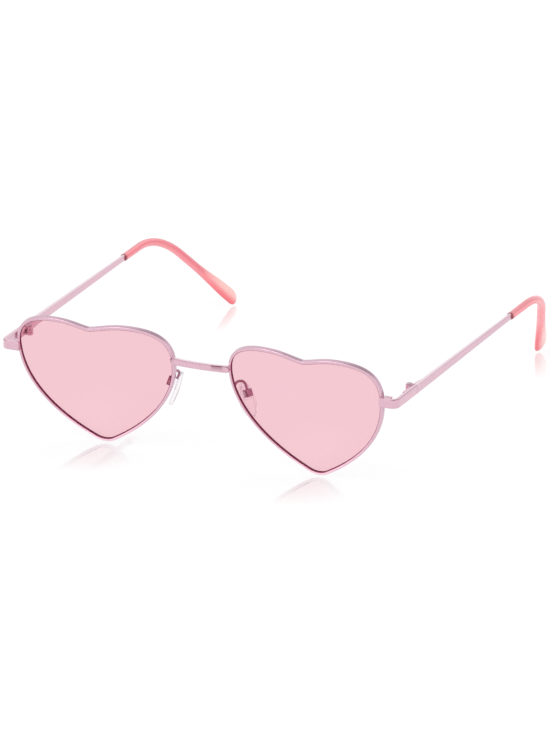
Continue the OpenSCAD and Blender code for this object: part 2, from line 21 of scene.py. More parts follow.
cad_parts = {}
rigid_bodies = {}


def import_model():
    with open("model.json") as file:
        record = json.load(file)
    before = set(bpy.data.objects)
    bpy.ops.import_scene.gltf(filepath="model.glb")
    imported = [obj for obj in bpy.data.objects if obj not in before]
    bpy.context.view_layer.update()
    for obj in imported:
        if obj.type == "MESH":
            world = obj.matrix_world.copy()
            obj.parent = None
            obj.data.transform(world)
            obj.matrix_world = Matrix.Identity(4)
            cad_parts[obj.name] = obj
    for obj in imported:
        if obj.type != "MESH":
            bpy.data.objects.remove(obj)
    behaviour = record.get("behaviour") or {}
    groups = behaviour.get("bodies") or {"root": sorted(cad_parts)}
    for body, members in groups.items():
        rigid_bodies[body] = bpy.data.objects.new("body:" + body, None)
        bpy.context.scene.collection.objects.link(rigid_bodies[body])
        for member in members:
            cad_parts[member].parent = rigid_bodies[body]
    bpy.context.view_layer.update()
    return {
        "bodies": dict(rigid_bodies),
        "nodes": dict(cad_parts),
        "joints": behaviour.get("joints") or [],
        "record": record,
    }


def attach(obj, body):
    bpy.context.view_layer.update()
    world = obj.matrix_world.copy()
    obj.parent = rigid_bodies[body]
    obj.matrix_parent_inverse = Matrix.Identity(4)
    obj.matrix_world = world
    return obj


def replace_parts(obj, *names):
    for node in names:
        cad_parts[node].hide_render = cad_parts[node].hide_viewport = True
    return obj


LOG = logging.getLogger("sunglasses")
MM = 0.001
UP = Vector((0, 0, 1))
BACK = Vector((0, 1, 0))
OUT = Vector((1, 0, 0))

CORNER_STEPS = 5
CORNER_POINTS = CORNER_STEPS + 1

Material = bpy.types.Material
Tree = bpy.types.NodeTree
Node = bpy.types.Node
Socket = bpy.types.NodeSocket
Faces = list[tuple[int, ...]]
Marks = dict[str, list[float]]


class Side(Enum):
    """The two mirrored halves, each with the sign of its X."""

    RIGHT = 1
    LEFT = -1

    @property
    def label(self) -> str:
        """The side's name in the names of its pieces."""
        return self.name.lower()


class Corner(Enum):
    """The corners of a round box in the order of its outline, far where the first coordinate is larger."""

    FAR_TOP = 0
    NEAR_TOP = 1
    NEAR_LOW = 2
    FAR_LOW = 3


def bezier(a: Vector, b: Vector, c: Vector, d: Vector, n: int) -> list[Vector]:
    """Points along a cubic curve.

    Args:
        a: Start point.
        b: Handle of the start.
        c: Handle of the end.
        d: End point, which is left out.
        n: Number of points.

    Returns:
        The points, from the start up to just before the end.
    """
    points = []
    for i in range(n):
        t = i / n
        s = 1 - t
        points.append(a * s**3 + b * (3 * s * s * t) + c * (3 * s * t * t) + d * t**3)
    return points


def ease(t: float) -> float:
    """A smooth step from 0 to 1."""
    c = min(1.0, max(0.0, t))
    return c * c * (3 - 2 * c)


def mix(a: float, b: float, t: float) -> float:
    """The value a share t of the way from a to b."""
    return a + (b - a) * t


def arc(start: float, end: float, n: int) -> list[float]:
    """Angles in radians from start to end degrees, both ends included."""
    return [math.radians(mix(start, end, i / n)) for i in range(n + 1)]


def round_box(width: float, height: float, radius: float) -> list[tuple[float, float]]:
    """The outline of a rectangle with round corners, about its middle.

    Args:
        width: Size along the first coordinate.
        height: Size along the second coordinate.
        radius: Radius of the corners, cut back where the box is too small for it.

    Returns:
        The outline's points, turning one way round.
    """
    r = min(radius, width * 0.499, height * 0.499)
    points = []
    for sx, sy, first in ((1, 1, 0), (-1, 1, 90), (-1, -1, 180), (1, -1, 270)):
        for a in arc(first, first + 90, CORNER_STEPS):
            x = sx * (width / 2 - r) + r * math.cos(a)
            y = sy * (height / 2 - r) + r * math.sin(a)
            points.append((x, y))
    return points


def corner_line(corner: Corner, amount: float, reach: float = 2, peak: float = 0.5) -> list[float]:
    """How strongly a fine line along one corner of a round box marks each of its points.

    Args:
        corner: The corner.
        amount: The mark in the line's middle.
        reach: Straight pieces over which the line fades out, to each side.
        peak: The line's middle, as a share of the way round the corner.

    Returns:
        The mark of each point of the outline.
    """
    marks = [0.0] * (4 * CORNER_POINTS)
    for i in range(CORNER_POINTS):
        away = abs(i / CORNER_STEPS - peak) * CORNER_STEPS
        marks[corner.value * CORNER_POINTS + i] = amount * max(0.0, 1 - away / reach)
    return marks


def top_face(amount: float, low: float = 0.3, high: float = 0.8) -> list[float]:
    """How strongly each point of a round box is marked for the painted highlight on its level top.

    Args:
        amount: The mark of the top itself.
        low: Where the mark begins, as a share of the way up an upper corner.
        high: Where it is full.

    Returns:
        The mark of each point of the outline.
    """
    rise = [amount * ease((i / CORNER_STEPS - low) / (high - low)) for i in range(CORNER_POINTS)]
    return rise + rise[::-1] + [0.0] * (2 * CORNER_POINTS)


def patch(x: float, span: tuple[float, float], fade: float) -> float:
    """How strongly a patch over a span, which fades inwards from both its ends, marks a place."""
    return ease((x - span[0]) / fade) * ease((span[1] - x) / fade)


def ellipse(width: float, height: float, n: int) -> list[tuple[float, float]]:
    """The outline of an ellipse with n points, about its middle."""
    return [(width / 2 * math.cos(a), height / 2 * math.sin(a)) for a in arc(0, 360, n)[:-1]]


def ring_of(at: Vector, side: Vector, up: Vector, outline: list[tuple[float, float]]) -> list[Vector]:
    """An outline set at a point, its first coordinate along side and its second along up."""
    return [at + side * x + up * y for x, y in outline]


def loft(rings: list[list[Vector]], tips: tuple[Vector, ...] = ()) -> tuple[list[Vector], Faces]:
    """Skins rings of equal length and closes both ends by fans.

    Args:
        rings: The rings, in order.
        tips: The middle points of the two fans, where they aren't the middles of the end rings.

    Returns:
        The points and the faces. The middle points of the fans come last.
    """
    n = len(rings[0])
    verts = [p for ring in rings for p in ring]
    faces: Faces = []
    for a in range(0, len(verts) - n, n):
        faces += [(a + i, a + (i + 1) % n, a + n + (i + 1) % n, a + n + i) for i in range(n)]
    ends = (0, len(verts) - n)
    verts += tips or [sum(ring, Vector((0, 0, 0))) / n for ring in (rings[0], rings[-1])]
    for j, first in enumerate(ends):
        faces += [(first + i, first + (i + 1) % n, len(verts) - 2 + j) for i in range(n)]
    return verts, faces


@dataclass
class Layout:
    """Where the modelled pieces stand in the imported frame."""

    hinge_y: float = 12.0
    temple_out: float = 2.0
    shift_y: float = 0.0
    temple_x: float = 0.0
    temple_z: float = 0.0

    def read(self, frame: dict) -> None:
        """Finds the lenses' poles and the temples' middle line from the right hinge's axis."""
        hinge = next(j for j in frame["joints"] if j["name"] == "right_temple_hinge")
        x, y, z = (c / MM for c in hinge["pos_m"])
        self.shift_y = y - self.hinge_y
        self.temple_x = x + self.temple_out
        self.temple_z = z

    def place(self, p: Vector, side: Side) -> Vector:
        """A point in millimetres as metres in the frame, mirrored for the left side."""
        return Vector((p.x * side.value, p.y + self.shift_y, p.z)) * MM


LAYOUT = Layout()


def hang(mesh: bpy.types.Mesh, body: str, crease: float) -> bpy.types.Object:
    """Makes the object of a mesh and hangs it on its body.

    Args:
        mesh: The mesh, which has the piece's name.
        body: The body that it rides on.
        crease: Edges that turn by more than this many degrees stay sharp.

    Returns:
        The new object.
    """
    mesh.shade_smooth()
    mesh.set_sharp_from_angle(angle=math.radians(crease))
    piece = bpy.data.objects.new(mesh.name, mesh)
    bpy.context.scene.collection.objects.link(piece)
    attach(piece, body)
    LOG.info("%s: %d faces, rides on %s", mesh.name, len(mesh.polygons), body)
    return piece


def make_piece(
    node: str,
    made: str,
    skin: tuple[list[Vector], Faces],
    body: str,
    material: Material,
    side: Side = Side.RIGHT,
    crease: float = 38,
    marks: Marks | None = None,
    groove: tuple[Material, set[int]] | None = None,
) -> None:
    """Makes one piece of the model and hangs it on its body.

    Args:
        node: The node that it stands for, or its own name where it stands for none.
        made: What its name has after the node's, and nothing where it stands for none.
        skin: Its points in millimetres, and its faces.
        body: The body that it rides on.
        material: Its finish.
        side: The half that it belongs to.
        crease: Edges that turn by more than this many degrees stay sharp.
        marks: Values for its points, by the name that the finish reads them under. Points past the last
            have 0.
        groove: A second finish, and the numbers of the faces that have it.
    """
    verts, faces = skin
    mesh = bpy.data.meshes.new(node + made)
    mesh.from_pydata([LAYOUT.place(v, side) for v in verts], [], faces)
    for key, values in (marks or {}).items():
        rest = [0.0] * (len(verts) - len(values))
        mesh.attributes.new(key, "FLOAT", "POINT").data.foreach_set("value", values + rest)
    bm = bmesh.new()
    bm.from_mesh(mesh)
    bmesh.ops.recalc_face_normals(bm, faces=bm.faces)
    bm.to_mesh(mesh)
    bm.free()
    mesh.materials.append(material)
    if groove:
        mesh.materials.append(groove[0])
        for i in groove[1]:
            mesh.polygons[i].material_index = 1
    piece = hang(mesh, body, crease)
    if made:
        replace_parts(piece, node)


def soften(node: bpy.types.Object, body: str, material: Material, width: float) -> None:
    """Stands a copy with rounded edges for a small machined node.

    Args:
        node: The node of the frame.
        body: The body that it rides on.
        material: Its finish.
        width: Width of the rounding in millimetres.
    """
    merge_mm = 0.002
    flat, edge, crease = 1, 40, 50
    bm = bmesh.new()
    bm.from_mesh(node.data)
    bmesh.ops.remove_doubles(bm, verts=bm.verts, dist=merge_mm * MM)
    bmesh.ops.dissolve_limit(bm, angle_limit=math.radians(flat), verts=bm.verts, edges=bm.edges)
    corners = [e for e in bm.edges if len(e.link_faces) == 2 and e.calc_face_angle() > math.radians(edge)]
    bmesh.ops.bevel(bm, geom=corners, offset=width * MM, segments=2, profile=0.5, affect="EDGES",
                    clamp_overlap=True)
    mesh = bpy.data.meshes.new(node.name + "_made")
    bm.to_mesh(mesh)
    bm.free()
    mesh.materials.append(material)
    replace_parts(hang(mesh, body, crease), node.name)


def linear(hexed: str) -> tuple[float, float, float, float]:
    """An sRGB colour such as "#dcb6cf" as the linear colour that a shader takes."""
    channels = [int(hexed[i : i + 2], 16) / 255 for i in (1, 3, 5)]
    return tuple(c / 12.92 if c <= 0.04045 else ((c + 0.055) / 1.055) ** 2.4 for c in channels) + (1.0,)


WHITE = linear("#ffffff")


def add_node(tree: Tree, kind: str, settings: dict | None = None, inputs: dict | None = None) -> Node:
    """Adds a node to a tree.

    Args:
        tree: The node tree.
        kind: The node's type, without what all of them begin with.
        settings: Its properties.
        inputs: Its sockets, by name or number, each with a value or with the socket that feeds it.

    Returns:
        The new node.
    """
    node = tree.nodes.new("ShaderNode" + kind)
    for key, value in (settings or {}).items():
        setattr(node, key, value)
    for key, value in (inputs or {}).items():
        if isinstance(value, Socket):
            tree.links.new(value, node.inputs[key])
        else:
            node.inputs[key].default_value = value
    return node


def maths(tree: Tree, operation: str, a: Socket | float, b: Socket | float) -> Socket:
    """What an operation such as "MAXIMUM" makes of two values."""
    return add_node(tree, "Math", {"operation": operation}, {0: a, 1: b}).outputs[0]


class Recipe:
    """A node material in the making."""

    def __init__(self, name: str) -> None:
        """Starts the material of a name."""
        self.material = bpy.data.materials.new(name)
        self.material.use_nodes = True
        self.tree = self.material.node_tree
        self.tree.nodes.clear()
        self.place = add_node(self.tree, "TexCoord").outputs["Object"]

    def noise(self, size_mm: float, detail: float = 1.0, place: Socket | None = None) -> Socket:
        """Soft noise of a size, with finer noise over it, read at the point itself or at a given place."""
        return add_node(self.tree, "TexNoise", {}, {
            "Vector": place or self.place, "Scale": 1 / (size_mm * MM), "Detail": detail}).outputs["Fac"]

    def mark(self, name: str) -> Socket:
        """The value that the piece's points hold under a name."""
        return add_node(self.tree, "Attribute", {"attribute_name": name}).outputs["Fac"]

    def tint(self, amount: Socket, base: Socket | str, tone: str) -> Socket:
        """A colour that goes from the base to a tone by an amount."""
        first = linear(base) if isinstance(base, str) else base
        return add_node(self.tree, "Mix", {"data_type": "RGBA"}, {
            0: amount, 6: first, 7: linear(tone)}).outputs[2]

    def dents(self, height: Socket, strength: float, depth_mm: float) -> Socket:
        """The direction of a surface that a height dents."""
        return add_node(self.tree, "Bump", {}, {
            "Height": height, "Strength": strength, "Distance": depth_mm * MM}).outputs["Normal"]

    def finish(self, shader: Socket) -> Material:
        """Ends the material with a shader."""
        add_node(self.tree, "OutputMaterial", {}, {"Surface": shader})
        return self.material

    def skin(self, color: Socket | tuple, roughness: float, more: dict) -> Material:
        """Ends the material with one skin of a colour and a roughness, and with more of its sockets."""
        inputs = {"Base Color": color, "Roughness": roughness} | more
        return self.finish(add_node(self.tree, "BsdfPrincipled", {}, inputs).outputs["BSDF"])


@dataclass(frozen=True)
class LacqueredNickel:
    """Nickel silver wire, plated and sprayed with a pink pearl lacquer.

    The lacquer is drawn out in faint streaks of a warmer and a cooler pink, and its shine mirrors
    the bright room softly. Painted grey shade marks its outer and lower edges in place of dark
    reflections, a painted highlight lightens its level tops, and a painted wine shade line darkens some
    edges.
    """

    name: str = "lacquered_nickel"
    pearl: str = "#e2b9c7"
    pearl_cool: str = "#d8b1c1"
    bare: str = "#ccaaba"
    pale: str = "#f1e3ea"
    pooled: str = "#6a2342"
    metallic: float = 0.8
    roughness: float = 0.24
    coat: float = 0.4
    coat_roughness: float = 0.1
    streak_mm: float = 1.6
    streak_pull: float = 0.12
    peel_mm: float = 0.35
    peel: float = 0.015
    peel_depth_mm: float = 0.02

    def build(self) -> Material:
        """The finish as a node material."""
        made = Recipe(self.name)
        drawn = add_node(made.tree, "Mapping", {}, {
            "Vector": made.place, "Scale": (1, self.streak_pull, 1)}).outputs["Vector"]
        color = made.tint(made.noise(self.streak_mm, 2.0, drawn), self.pearl, self.pearl_cool)
        # Painted light: grey edge shade in place of dark reflections, a highlight on the level tops and a
        # wine shade line.
        for mark, tone in (("thin", self.bare), ("pale", self.pale), ("pool", self.pooled)):
            color = made.tint(made.mark(mark), color, tone)
        return made.skin(color, self.roughness, {
            "Metallic": self.metallic, "Coat Weight": self.coat, "Coat Roughness": self.coat_roughness,
            "Normal": made.dents(made.noise(self.peel_mm), self.peel, self.peel_depth_mm)})


@dataclass(frozen=True)
class Clouded:
    """A finish whose colour drifts softly between two tones."""

    name: str
    tone: str
    drift: str
    cloud_mm: float
    roughness: float
    clear: float = 1.0
    ior: float = 1.5
    shine: float = 0.5

    def build(self) -> Material:
        """The finish as a node material."""
        made = Recipe(self.name)
        color = made.tint(made.noise(self.cloud_mm), self.tone, self.drift)
        return made.skin(color, self.roughness, {
            "Transmission Weight": self.clear, "IOR": self.ior, "Specular IOR Level": self.shine})


@dataclass(frozen=True)
class GatheredLacquer(Clouded):
    """The lacquer's colour darkened to wine red, painted as shade on the faces of a groove or a crevice.

    It stands in for the shade there, where hardly any light reaches, so it shows as a wine red line, far
    darker than the lacquer's own colour.
    """

    name: str = "gathered_lacquer"
    tone: str = "#a44169"
    drift: str = "#b65c80"
    cloud_mm: float = 1.2
    roughness: float = 0.7
    clear: float = 0.0
    shine: float = 0.1


@dataclass(frozen=True)
class TintedPolycarbonate(Clouded):
    """Clear polycarbonate dyed pink, injection moulded and polished on both faces.

    It is glassy, and what lies behind it shows through in a deeper pink.
    """

    name: str = "tinted_polycarbonate"
    tone: str = "#f3c7d1"
    drift: str = "#f3c7cf"
    cloud_mm: float = 22.0
    roughness: float = 0.0
    ior: float = 1.2


@dataclass(frozen=True)
class ClearSilicone(Clouded):
    """Clear silicone rubber, moulded with a satin skin.

    It is nearly colourless against a white ground and shows mostly by its light grey edges, which the pads
    carry as painted grey shade.
    """

    name: str = "clear_silicone"
    tone: str = "#fcfafb"
    drift: str = "#f8f4f7"
    cloud_mm: float = 1.5
    roughness: float = 0.05
    ior: float = 1.16


@dataclass(frozen=True)
class ClearNylon(ClearSilicone):
    """Clear hard nylon, moulded as the core of a soft pad."""

    name: str = "clear_nylon"
    roughness: float = 0.1
    ior: float = 1.2


@dataclass(frozen=True)
class CoralSleeving:
    """Soft coral plastic, moulded as a sleeve, pushed over the core wire and tumbled to a shine.

    The wire shows through as a deeper line, and painted shade darkens the long edges. The flat end has a
    painted highlight of a light orange pink on its upper side and a painted glow of its strongest colour
    along its lower edge, and painted shade darkens the mouth.
    """

    name: str = "coral_sleeving"
    body: str = "#f2999f"
    wire: str = "#df6877"
    # Painted shade on the long edges.
    shade: str = "#c9747f"
    # A painted highlight on the paddle's upper side, and a painted glow along its lower edge.
    peach: str = "#f4beb8"
    glow: str = "#f2747e"
    # Painted shade in the mouth and the bore.
    mouth: str = "#6b2535"
    roughness: float = 0.2
    ior: float = 1.46
    cloud_mm: float = 6.0
    cloud_detail: float = 1.5
    wire_least: float = 0.7
    wire_most: float = 1.1

    def build(self) -> Material:
        """The finish as a node material."""
        made = Recipe(self.name)
        cloud = made.noise(self.cloud_mm, self.cloud_detail)
        uneven = add_node(made.tree, "MapRange", {}, {
            0: cloud, 3: self.wire_least, 4: self.wire_most}).outputs[0]
        color = made.tint(maths(made.tree, "MULTIPLY", made.mark("wire"), uneven), self.body, self.wire)
        for mark in ("shade", "peach", "glow", "mouth"):
            color = made.tint(made.mark(mark), color, getattr(self, mark))
        return made.skin(color, self.roughness, {"IOR": self.ior})


@dataclass(frozen=True)
class TurnedSteel:
    """Small steel screws, turned and polished, with fine marks from the tool.

    They glint, a little greyer than the lacquer around them.
    """

    name: str = "turned_steel"
    body: str = "#c9b6c1"
    roughness: float = 0.3
    mark_mm: float = 0.12
    mark: float = 0.1
    mark_depth_mm: float = 0.01

    def build(self) -> Material:
        """The finish as a node material."""
        made = Recipe(self.name)
        dents = made.dents(made.noise(self.mark_mm), self.mark, self.mark_depth_mm)
        return made.skin(linear(self.body), self.roughness, {"Metallic": 1.0, "Normal": dents})


class Finishes:
    """Every finish of the sunglasses, built once."""

    def __init__(self) -> None:
        """Builds the materials."""
        self.metal = LacqueredNickel().build()
        # The same lacquer darkened as painted shade, for the pad boxes and the pad wires.
        self.fittings = LacqueredNickel(
            name="lacquered_fittings", pearl="#b57a94", pearl_cool="#a36d88", bare="#8d6a7d").build()
        self.hinge = LacqueredNickel(name="lacquered_hinge", pearl="#e2b9c8", pearl_cool="#d6adbd").build()
        self.core = LacqueredNickel(name="rose_core_wire", pearl="#c9657a", pearl_cool="#b9556b").build()
        # Wine red painted shade for the rims' grooves and the lenses' edges.
        self.groove = GatheredLacquer().build()
        self.lens = TintedPolycarbonate().build()
        self.sleeve = CoralSleeving().build()
        self.silicone = ClearSilicone().build()
        # A grey tone painted as shade on the pads' rims.
        self.pad_edge = ClearSilicone(name="clear_silicone_edge", tone="#dcd4da", drift="#d2c9d0").build()
        self.insert = ClearNylon().build()
        self.steel = TurnedSteel().build()


@dataclass
class HeartFront:
    """The shape that both rims and both lenses follow: a heart on a ball, leaning forward.

    What pulls the curve is a share of the heart's half width or of its height.
    """

    outer_half_w: float = 26.2
    inner_half_w: float = 27.7
    height: float = 44.3
    notch_d: float = 1.7
    notch_pull: tuple[float, float] = (0.135, 0.013)
    lobe_share: float = 0.414
    lobe_pull: tuple[float, float] = (0.167, 0.367)
    wide_share: float = 0.74
    wide_pull: tuple[float, float] = (0.188, 0.164)
    low_pull: float = 0.537
    tip_r: float = 6.7
    tip_angle: float = 31.0
    nose_gap: float = 18.5
    ball_r: float = 170.0
    tilt: float = 14.2
    turn: float = -1.9
    rim_w: float = 1.0
    rim_d: float = 1.5
    steps: tuple[int, int, int, int] = (30, 56, 64, 14)

    @property
    def middle_x(self) -> float:
        """Distance of the heart's axis from the middle of the nose."""
        return self.nose_gap / 2 + self.inner_half_w

    @property
    def middle_v(self) -> float:
        """Height of the ball's pole above the heart's tip."""
        return self.height / 2

    @property
    def pole_z(self) -> float:
        """Height of the ball's pole above the floor, on which the tip's front corner stands."""
        lean = math.radians(self.tilt)
        return self.middle_v * math.cos(lean) - self.depth(0, self.middle_v, -self.rim_d / 2) * math.sin(lean)

    def depth(self, u: float, v: float, d: float) -> float:
        """How far behind the pole the ball's surface is, for a surface d behind the middle one."""
        return self.ball_r - math.sqrt((self.ball_r - d) ** 2 - u * u - v * v)

    def at(self, u: float, v: float, d: float) -> Vector:
        """A point of the front from its place on the heart and its depth in the wire."""
        y = self.depth(u, v, d)
        turn = math.radians(self.turn)
        lean = math.radians(self.tilt)
        x = u * math.cos(turn) - y * math.sin(turn)
        back = u * math.sin(turn) + y * math.cos(turn)
        return Vector((self.middle_x + x, back * math.cos(lean) - v * math.sin(lean),
                       self.pole_z + back * math.sin(lean) + v * math.cos(lean)))

    def v_at(self, z: float) -> float:
        """The place up the heart of a point that is about z above the floor."""
        return (z - self.pole_z) / math.cos(math.radians(self.tilt))

    def half(self, w: float) -> list[Vector]:
        """Half of the outline, from the notch over the lobe and down to the tip, which is left out."""
        h = self.height
        angle = math.radians(self.tip_angle)
        notch = Vector((0, h - self.notch_d))
        lobe = Vector((w * self.lobe_share, h))
        wide = Vector((w, h * self.wide_share))
        low = Vector((self.tip_r * math.sin(angle), self.tip_r * (1 - math.cos(angle))))
        a, b, c, d = self.steps
        points = bezier(notch, notch + Vector((w * self.notch_pull[0], h * self.notch_pull[1])),
                        lobe - Vector((w * self.lobe_pull[0], 0)), lobe, a)
        points += bezier(lobe, lobe + Vector((w * self.lobe_pull[1], 0)),
                         wide + Vector((0, h * self.wide_pull[0])), wide, b)
        points += bezier(wide, wide - Vector((0, h * self.wide_pull[1])),
                         low + Vector((math.cos(angle), math.sin(angle))) * (h * self.low_pull), low, c)
        for i in range(d):
            t = angle * (1 - i / d)
            points.append(Vector((self.tip_r * math.sin(t), self.tip_r * (1 - math.cos(t)))))
        return points

    def outline(self) -> list[Vector]:
        """The closed outline about the pole, from the notch round by the temple side."""
        outer = self.half(self.outer_half_w)
        inner = self.half(self.inner_half_w)
        down = Vector((0, -self.middle_v))
        back = [Vector((-p.x, p.y)) for p in reversed(inner[1:])]
        return [p + down for p in outer + [Vector((0, 0))] + back]

    def inset(self, points: list[Vector], d: float) -> list[Vector]:
        """The outline moved inwards by d, its notch kept sharp."""
        moved = []
        n = len(points)
        sharpest = 0.5
        for i, p in enumerate(points):
            before = (p - points[i - 1]).normalized()
            after = (points[(i + 1) % n] - p).normalized()
            run = (before + after).normalized()
            spread = d / max(run.dot(after), sharpest)
            moved.append(p + Vector((run.y, -run.x)) * spread)
        return moved


@dataclass
class RimAndLens:
    """A wire rim and the lens that sits in its groove.

    The faces of the rim's section that take the painted wine shade run from inside its inner front corner
    through the groove into its inner back corner.
    """

    front: HeartFront
    side: Side
    finishes: Finishes
    corner_r: float = 0.24
    corner_steps: int = 6
    groove_d: float = 0.45
    groove_w: float = 0.8
    stained: tuple[int, int] = (9, 20)
    lens_t: float = 1.2
    slack: float = 0.04
    slit_w: float = 0.2
    lens_rings: int = 26
    lens_crowding: float = 0.35

    def profile(self) -> list[tuple[float, float, float]]:
        """The wire's section: inset, depth and how strongly the painted grey edge shade marks it there."""
        w = self.front.rim_w
        half = self.front.rim_d / 2
        r = self.corner_r
        g = self.groove_w / 2
        groove = [(w, -g, 0.0), (w - self.groove_d, -g, 0.0), (w - self.groove_d, g, 0.0), (w, g, 0.0)]
        points = []
        corners = ((r, r - half, 180), (w - r, r - half, 270), (w - r, half - r, 0), (r, half - r, 90))
        for x, y, first in corners:
            if first == 0:
                points += groove
            for a in arc(first, first + 90, self.corner_steps):
                # The outer wall carries the painted grey edge shade in full, fading out round its corners to
                # the front and back faces.
                thin = -math.cos(a) if x == r else 0.0
                points.append((x + r * math.cos(a), y + r * math.sin(a), thin))
        return points

    def build(self) -> None:
        """Makes the rim and its lens."""
        self.build_rim()
        self.build_lens()

    def build_rim(self) -> None:
        """Makes the rim, slit behind the end piece as a real one is."""
        front = self.front
        outline = front.outline()
        profile = self.profile()
        moved = {d: front.inset(outline, d) for d in {p[0] for p in profile}}
        every = [[front.at(moved[d][i].x, moved[d][i].y, depth) for d, depth, _ in profile]
                 for i in range(len(outline))]
        low_z = LAYOUT.temple_z - self.slit_w / 2
        high_z = LAYOUT.temple_z + self.slit_w / 2
        temple_side = range(front.steps[0], len(front.half(front.outer_half_w)))
        below = next(i for i in temple_side if max(p.z for p in every[i]) < low_z)
        above = max(i for i in temple_side if min(p.z for p in every[i]) > high_z)
        up = Vector((0, -math.tan(math.radians(front.tilt)), 1))
        rings = [[p + up * (low_z - p.z) for p in every[below]]]
        rings += every[below:] + every[: above + 1]
        rings.append([p + up * (high_z - p.z) for p in every[above]])
        n = len(profile)
        # The inner wall and the groove take the painted wine shade.
        inside = {j * n + i for j in range(len(rings) - 1) for i in range(*self.stained)}
        marks = {"thin": [p[2] for _ in rings for p in profile]}
        make_piece(self.side.label + "_rim", "_wire", loft(rings), "front",
                   self.finishes.metal, self.side, 50, marks, (self.finishes.groove, inside))

    def build_lens(self) -> None:
        """Makes the lens as rings that shrink to its middle, its edge and tongue darkened by the groove's
        painted wine shade.
        """
        front = self.front
        outline = front.outline()
        body = front.inset(outline, front.rim_w + self.slack)
        tongue = front.inset(outline, front.rim_w - self.groove_d + self.slack)
        half = self.lens_t / 2
        tongue_half = self.groove_w / 2 - self.slack
        ways = [i / self.lens_rings for i in range(1, self.lens_rings + 1)]
        shares = [mix(t, ease(t), self.lens_crowding) for t in ways]
        rings = [[front.at(p.x * k, p.y * k, -half) for p in body] for k in shares]
        step = ((body, -tongue_half), (tongue, -tongue_half), (tongue, tongue_half), (body, tongue_half))
        rings += [[front.at(p.x, p.y, d) for p in line] for line, d in step]
        rings += [[front.at(p.x * k, p.y * k, half) for p in body] for k in reversed(shares)]
        skin = loft(rings, (front.at(0, 0, -half), front.at(0, 0, half)))
        # The lens's edge and tongue take the same painted wine shade, seen through the lens as a dark line.
        edge = set(range((self.lens_rings - 1) * len(body), (self.lens_rings + 4) * len(body)))
        make_piece(self.side.label + "_lens", "_moulded", skin, "front",
                   self.finishes.lens, self.side, 30, None, (self.finishes.groove, edge))


@dataclass
class Bridge:
    """The bowed bar between the rims, its flattened ends lying on their fronts.

    A painted wine shade line runs along its upper front edge, darker in spots there.
    """

    front: HeartFront
    finishes: Finishes
    middle_z: float = 33.4964
    height: float = 2.1
    end_height: float = 2.2
    thickness: float = 1.6
    bow: float = 0.9
    proud_share: float = 0.7
    corner_r: float = 0.34
    steps: int = 144
    end_share: float = 0.9995
    least_half_h: float = 0.02
    least_slim: float = 0.4
    # The painted wine shade line and its darker spots, then the painted highlight on the top.
    line: float = 0.85
    spots: tuple[tuple[float, float], ...] = ((-10.8, -8.6), (3.8, 8.8), (9.6, 11.0))
    spot_fade: float = 1.2
    spot_amount: float = 1.5
    pale: float = 0.6

    def section(self, x: float, seat: Vector) -> list[Vector]:
        """The bar's ring at a distance from its middle.

        Args:
            x: The distance.
            seat: The place of the right end on the front of its rim.

        Returns:
            The ring's points.
        """
        half = self.thickness / 2
        end_r = self.end_height / 2
        away = seat.x - abs(x)
        neck = self.front.nose_gap / 2 - self.thickness
        h = mix(self.height, self.end_height, ease((abs(x) - (neck - self.height)) / self.height))
        if away < end_r:
            h = 2 * math.sqrt(max(end_r**2 - (end_r - away) ** 2, self.least_half_h**2))
        face = seat.y - self.thickness * self.proud_share
        at = Vector((x, face - self.bow * (1 - (x / seat.x) ** 2) + half, self.middle_z))
        slim = min(1.0, math.sqrt(away / (2 * self.corner_r)) + self.least_slim)
        outline = [(mix(half, a, slim), b) for a, b in round_box(self.thickness, h, self.corner_r)]
        return ring_of(at, BACK, UP, outline)

    def gathered(self, x: float) -> list[float]:
        """How strongly the painted wine shade marks each point of the ring at x."""
        spot = max(patch(x, span, self.spot_fade) for span in self.spots)
        line = corner_line(Corner.NEAR_TOP, self.line, 2.5)
        spotted = corner_line(Corner.NEAR_TOP, self.spot_amount * spot, 3, 0.6)
        return [max(a, b) for a, b in zip(line, spotted)]

    def build(self) -> None:
        """Makes the bar from one end to the other."""
        front = self.front
        seat = front.at(-front.inner_half_w + front.rim_w, front.v_at(self.middle_z), -front.rim_d / 2)
        spots = [-math.cos(math.pi * i / self.steps) * seat.x * self.end_share for i in range(self.steps + 1)]
        skin = loft([self.section(x, seat) for x in spots])
        # Painted wine shade along the upper front edge, painted grey shade along the lower front edge and a
        # painted highlight on the top.
        marks = {
            "pool": [m for x in spots for m in self.gathered(x)],
            "thin": corner_line(Corner.NEAR_LOW, 1.0) * len(spots),
            "pale": top_face(self.pale) * len(spots),
        }
        make_piece("bridge", "_bar", skin, "front", self.finishes.metal, marks=marks)


